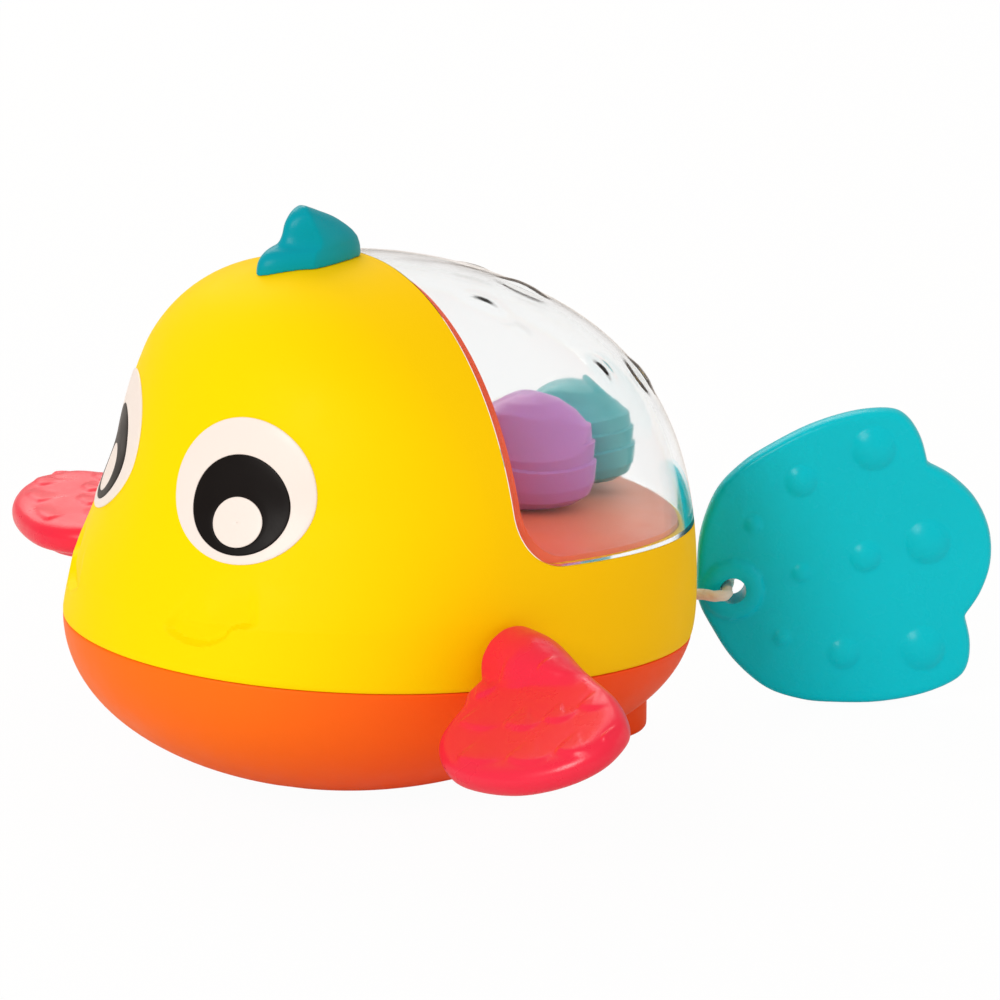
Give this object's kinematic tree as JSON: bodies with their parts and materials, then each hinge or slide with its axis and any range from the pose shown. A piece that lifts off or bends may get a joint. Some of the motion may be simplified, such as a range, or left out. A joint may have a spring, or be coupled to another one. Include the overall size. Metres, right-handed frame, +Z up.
{
  "type": "pull-cord paddling bath fish",
  "caption": "Rounded bath-toy fish with a clear dome over a spinner; pulling the tail on its cord turns the side fins and the spinner through gears.",
  "frame": {"origin": "middle of the flat under the belly, on the floor plane", "axes": "+X from the nose to the tail, +Y to the fish's right side, +Z up"},
  "size_m": [0.1928, 0.2016, 0.118],
  "materials": {
    "yellow_plastic": "gloss",
    "orange_plastic": "gloss",
    "clear_plastic": "clear gloss",
    "peach_plastic": "gloss",
    "dark_teal_plastic": "satin",
    "red_plastic": "satin",
    "aqua_plastic": "satin",
    "purple_plastic": "gloss",
    "teal_plastic": "gloss",
    "coral_plastic": "gloss",
    "white_film": "gloss",
    "black_film": "gloss",
    "white_plastic": "satin",
    "ivory_plastic": "satin",
    "grey_plastic": "satin",
    "seal_rubber": "matte",
    "steel": "satin",
    "spring_steel": "satin",
    "cord_fibre": "matte"
  },
  "bodies": {
    "hull": {"hull_base": "orange_plastic", "top_shell": "yellow_plastic", "dome": "clear_plastic", "dome_tray": "peach_plastic", "dorsal_fin": "dark_teal_plastic", "eye_whites": "white_film", "eye_pupils": "black_film", "eye_glints": "white_film", "hull_screws": "steel", "gearbox_left": "grey_plastic", "gearbox_right": "grey_plastic", "gearbox_screws": "steel", "spool_pin": "steel", "idler_pin": "steel", "mainspring": "spring_steel", "cord_grommet": "white_plastic", "cord_run": "cord_fibre", "axle_bushes": "white_plastic", "axle_seals": "seal_rubber"},
    "lead": {"pull_cord": "cord_fibre"},
    "line_end": {"cord_end": "cord_fibre"},
    "tail": {"tail": "aqua_plastic"},
    "spool": {"cord_spool": "ivory_plastic", "cord_winding": "cord_fibre"},
    "idler": {"idler_gear": "ivory_plastic"},
    "fins": {"fin_axle": "steel", "axle_gear": "ivory_plastic", "left_fin": "red_plastic", "right_fin": "red_plastic"},
    "spinner": {"spinner_shaft": "steel", "crown_gear": "ivory_plastic", "spinner_hub": "white_plastic", "purple_lobe": "purple_plastic", "teal_lobe": "teal_plastic", "coral_lobe": "coral_plastic"}
  },
  "joints": [
    {"name": "cord_sweep", "type": "hinge", "parent": "hull", "child": "lead", "pos_m": [0.06973, 0, 0.0248], "axis": [0, 0, 1], "range_deg": [-30, 95]},
    {"name": "tail_pull", "type": "slide", "parent": "lead", "child": "line_end", "axis": [0.5592, -0.829, 0], "range_m": [0, 0.16], "stiffness_N_per_m": 8, "springref_m": -0.3, "deforming": ["pull_cord"]},
    {"name": "tail_swing", "type": "hinge", "parent": "line_end", "child": "tail", "pos_m": [0.08589, -0.00995, 0.0248], "axis": [-0.5592, -0.829, 0], "range_deg": [-75, 36]},
    {"name": "spool_spin", "type": "hinge", "parent": "hull", "child": "spool", "pos_m": [0.038, 0, 0.0318], "axis": [0, 1, 0], "range_deg": [-1310.6, 0]},
    {"name": "idler_spin", "type": "hinge", "parent": "hull", "child": "idler", "pos_m": [0.01509, 0, 0.0338], "axis": [0, 1, 0], "range_deg": [0, 1201.5]},
    {"name": "fin_spin", "type": "hinge", "parent": "hull", "child": "fins", "pos_m": [-0.00269, 0, 0.0366], "axis": [0, 1, 0], "range_deg": [-2402, 0]},
    {"name": "spinner_spin", "type": "hinge", "parent": "hull", "child": "spinner", "pos_m": [0.038, 0, 0], "axis": [0, 0, 1], "range_deg": [0, 1441.6]}
  ],
  "couplings": [
    {"joint": "spool_spin", "follows": "tail_pull", "rad_per_m": -142.86},
    {"joint": "idler_spin", "follows": "tail_pull", "rad_per_m": 130.95},
    {"joint": "fin_spin", "follows": "tail_pull", "rad_per_m": -261.9},
    {"joint": "spinner_spin", "follows": "tail_pull", "rad_per_m": 157.14}
  ]
}
